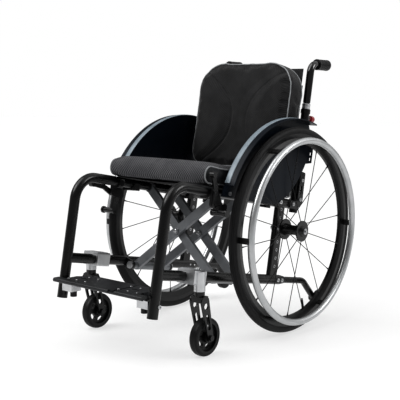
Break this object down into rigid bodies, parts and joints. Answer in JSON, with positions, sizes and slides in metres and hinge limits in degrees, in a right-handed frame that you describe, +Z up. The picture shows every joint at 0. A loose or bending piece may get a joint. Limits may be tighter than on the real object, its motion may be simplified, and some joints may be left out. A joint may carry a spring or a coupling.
{
  "type": "manual wheelchair",
  "caption": "Folding manual wheelchair with a cross-braced tube frame, large spoked rear wheels with handrims, small front casters, wheel locks and padded seat.",
  "frame": {"origin": "on the floor, midway along the overall length and width", "axes": "+X to the user's left, -Y to the front, +Z up"},
  "size_m": [0.554, 0.8649, 0.7975],
  "materials": {
    "frame": "satin black",
    "silver": "machined",
    "handrim": "satin anodised",
    "axle": "brushed",
    "tyre": "matt",
    "black_rim": "satin black",
    "spoke": "black",
    "hub": "satin black",
    "brace": "dark anodised",
    "black_plastic": "matt",
    "grip": "matt",
    "red_plastic": "gloss",
    "guard": "satin navy black",
    "footplate": "textured black",
    "caster": "matt",
    "seat_fabric": "knitted mesh",
    "sling_fabric": "woven"
  },
  "bodies": {
    "left_frame": {"left_side_tube": "frame", "left_lower_tube": "frame", "left_axle_bar": "frame", "left_anti_tip_tube": "frame", "left_axle_pin": "axle", "left_clamps_and_screws": "silver", "left_saddles_and_plugs": "black_plastic", "left_back_bracket": "frame", "left_back_cane": "frame", "left_side_guard": "guard", "left_brake_body": "black_plastic", "back_cushion": "seat_fabric", "back_sling": "sling_fabric"},
    "cross_brace_a": {"cross_frame_a": "brace"},
    "cross_brace_b": {"cross_frame_b": "brace"},
    "right_frame": {"right_side_tube": "frame", "right_lower_tube": "frame", "right_axle_bar": "frame", "right_anti_tip_tube": "frame", "right_axle_pin": "axle", "right_clamps_and_screws": "silver", "right_saddles_and_plugs": "black_plastic", "right_back_bracket": "frame", "right_back_cane": "frame", "right_side_guard": "guard", "right_brake_body": "black_plastic"},
    "left_seat_rail": {"left_seat_rail": "frame", "seat_cushion": "seat_fabric", "seat_sling": "sling_fabric"},
    "right_seat_rail": {"right_seat_rail": "frame"},
    "left_footplate": {"left_footplate": "footplate"},
    "left_rear_wheel": {"left_tyre": "tyre", "left_rim": "black_rim", "left_hub": "hub", "left_spokes": "spoke", "left_handrim": "handrim"},
    "left_axle_button": {"left_axle_button": "axle"},
    "left_caster_fork": {"left_caster_fork": "frame"},
    "left_caster_wheel": {"left_caster_wheel": "caster"},
    "left_anti_tip_roller": {"left_anti_tip_roller": "black_plastic"},
    "left_push_handle": {"left_push_handle": "frame", "left_handle_grip": "grip"},
    "left_height_knob": {"left_height_knob": "red_plastic"},
    "left_brake_lever": {"left_brake_lever": "frame"},
    "left_brake_shoe": {"left_brake_shoe": "frame"},
    "right_footplate": {"right_footplate": "footplate"},
    "right_rear_wheel": {"right_tyre": "tyre", "right_rim": "black_rim", "right_hub": "hub", "right_spokes": "spoke", "right_handrim": "handrim"},
    "right_axle_button": {"right_axle_button": "axle"},
    "right_caster_fork": {"right_caster_fork": "frame"},
    "right_caster_wheel": {"right_caster_wheel": "caster"},
    "right_anti_tip_roller": {"right_anti_tip_roller": "black_plastic"},
    "right_push_handle": {"right_push_handle": "frame", "right_handle_grip": "grip"},
    "right_height_knob": {"right_height_knob": "red_plastic"},
    "right_brake_lever": {"right_brake_lever": "frame"},
    "right_brake_shoe": {"right_brake_shoe": "frame"}
  },
  "joints": [
    {"name": "fold", "type": "hinge", "parent": "left_frame", "child": "cross_brace_a", "pos_m": [0.139, -0.0788, 0.17105], "axis": [0, 0.9863, -0.165], "range_deg": [0, 40], "deforming": ["seat_cushion", "seat_sling", "back_cushion", "back_sling"]},
    {"name": "brace_scissor", "type": "hinge", "parent": "cross_brace_a", "child": "cross_brace_b", "pos_m": [0, -0.05963, 0.28561], "axis": [0, 0.9863, -0.165], "range_deg": [-80, 0]},
    {"name": "right_frame_pivot", "type": "hinge", "parent": "cross_brace_b", "child": "right_frame", "pos_m": [-0.139, -0.0788, 0.17105], "axis": [0, 0.9863, -0.165], "range_deg": [0, 40]},
    {"name": "left_seat_rail_pivot", "type": "hinge", "parent": "cross_brace_b", "child": "left_seat_rail", "pos_m": [0.139, -0.04046, 0.40017], "axis": [0, 0.9863, -0.165], "range_deg": [0, 40]},
    {"name": "right_seat_rail_pivot", "type": "hinge", "parent": "cross_brace_a", "child": "right_seat_rail", "pos_m": [-0.139, -0.04046, 0.40017], "axis": [0, 0.9863, -0.165], "range_deg": [-40, 0]},
    {"name": "left_footplate_hinge", "type": "hinge", "parent": "left_frame", "child": "left_footplate", "pos_m": [0.142, -0.3865, 0.171], "axis": [0, 1, 0], "range_deg": [0, 90]},
    {"name": "left_wheel_spin", "type": "hinge", "parent": "left_frame", "child": "left_rear_wheel", "pos_m": [0.226, 0.135, 0.2975], "axis": [1, 0, 0], "continuous": true},
    {"name": "left_axle_button_press", "type": "slide", "parent": "left_frame", "child": "left_axle_button", "axis": [-1, 0, 0], "range_m": [0, 0.004], "stiffness_N_per_m": 400},
    {"name": "left_caster_swivel", "type": "hinge", "parent": "left_frame", "child": "left_caster_fork", "pos_m": [0.204, -0.257, 0.2], "axis": [0, 0, 1], "continuous": true},
    {"name": "left_caster_spin", "type": "hinge", "parent": "left_caster_fork", "child": "left_caster_wheel", "pos_m": [0.204, -0.232, 0.051], "axis": [1, 0, 0], "continuous": true},
    {"name": "left_anti_tip_roller_spin", "type": "hinge", "parent": "left_frame", "child": "left_anti_tip_roller", "pos_m": [0.191, 0.34412, 0.05668], "axis": [1, 0, 0], "continuous": true},
    {"name": "left_handle_height", "type": "slide", "parent": "left_frame", "child": "left_push_handle", "axis": [0, 0.165, 0.9863], "range_m": [-0.015, 0.05]},
    {"name": "left_height_knob_pull", "type": "slide", "parent": "left_frame", "child": "left_height_knob", "axis": [0, 0.9863, -0.165], "range_m": [0, 0.006], "stiffness_N_per_m": 500},
    {"name": "left_brake_lever_hinge", "type": "hinge", "parent": "left_frame", "child": "left_brake_lever", "pos_m": [0.195, -0.19004, 0.39397], "axis": [1, 0, 0], "range_deg": [0, 61]},
    {"name": "left_brake_shoe_hinge", "type": "hinge", "parent": "left_frame", "child": "left_brake_shoe", "pos_m": [0.201, -0.16001, 0.38499], "axis": [1, 0, 0], "range_deg": [0, 69]},
    {"name": "right_footplate_hinge", "type": "hinge", "parent": "right_frame", "child": "right_footplate", "pos_m": [-0.142, -0.3865, 0.171], "axis": [0, -1, 0], "range_deg": [0, 90]},
    {"name": "right_wheel_spin", "type": "hinge", "parent": "right_frame", "child": "right_rear_wheel", "pos_m": [-0.226, 0.135, 0.2975], "axis": [1, 0, 0], "continuous": true},
    {"name": "right_axle_button_press", "type": "slide", "parent": "right_frame", "child": "right_axle_button", "axis": [1, 0, 0], "range_m": [0, 0.004], "stiffness_N_per_m": 400},
    {"name": "right_caster_swivel", "type": "hinge", "parent": "right_frame", "child": "right_caster_fork", "pos_m": [-0.204, -0.257, 0.2], "axis": [0, 0, 1], "continuous": true},
    {"name": "right_caster_spin", "type": "hinge", "parent": "right_caster_fork", "child": "right_caster_wheel", "pos_m": [-0.204, -0.232, 0.051], "axis": [1, 0, 0], "continuous": true},
    {"name": "right_anti_tip_roller_spin", "type": "hinge", "parent": "right_frame", "child": "right_anti_tip_roller", "pos_m": [-0.191, 0.34412, 0.05668], "axis": [1, 0, 0], "continuous": true},
    {"name": "right_handle_height", "type": "slide", "parent": "right_frame", "child": "right_push_handle", "axis": [0, 0.165, 0.9863], "range_m": [-0.015, 0.05]},
    {"name": "right_height_knob_pull", "type": "slide", "parent": "right_frame", "child": "right_height_knob", "axis": [0, 0.9863, -0.165], "range_m": [0, 0.006], "stiffness_N_per_m": 500},
    {"name": "right_brake_lever_hinge", "type": "hinge", "parent": "right_frame", "child": "right_brake_lever", "pos_m": [-0.195, -0.19004, 0.39397], "axis": [1, 0, 0], "range_deg": [-61, 0]},
    {"name": "right_brake_shoe_hinge", "type": "hinge", "parent": "right_frame", "child": "right_brake_shoe", "pos_m": [-0.201, -0.16001, 0.38499], "axis": [1, 0, 0], "range_deg": [-69, 0]}
  ],
  "couplings": [
    {"joint": "brace_scissor", "follows": "fold", "ratio": -2},
    {"joint": "right_frame_pivot", "follows": "fold", "ratio": 1},
    {"joint": "left_seat_rail_pivot", "follows": "fold", "ratio": 1},
    {"joint": "right_seat_rail_pivot", "follows": "fold", "ratio": -1},
    {"joint": "left_footplate_hinge", "follows": "fold", "ratio": 2.25},
    {"joint": "left_brake_shoe_hinge", "follows": "left_brake_lever_hinge", "ratio": 1.1311},
    {"joint": "right_footplate_hinge", "follows": "fold", "ratio": 2.25},
    {"joint": "right_brake_shoe_hinge", "follows": "right_brake_lever_hinge", "ratio": 1.1311}
  ]
}
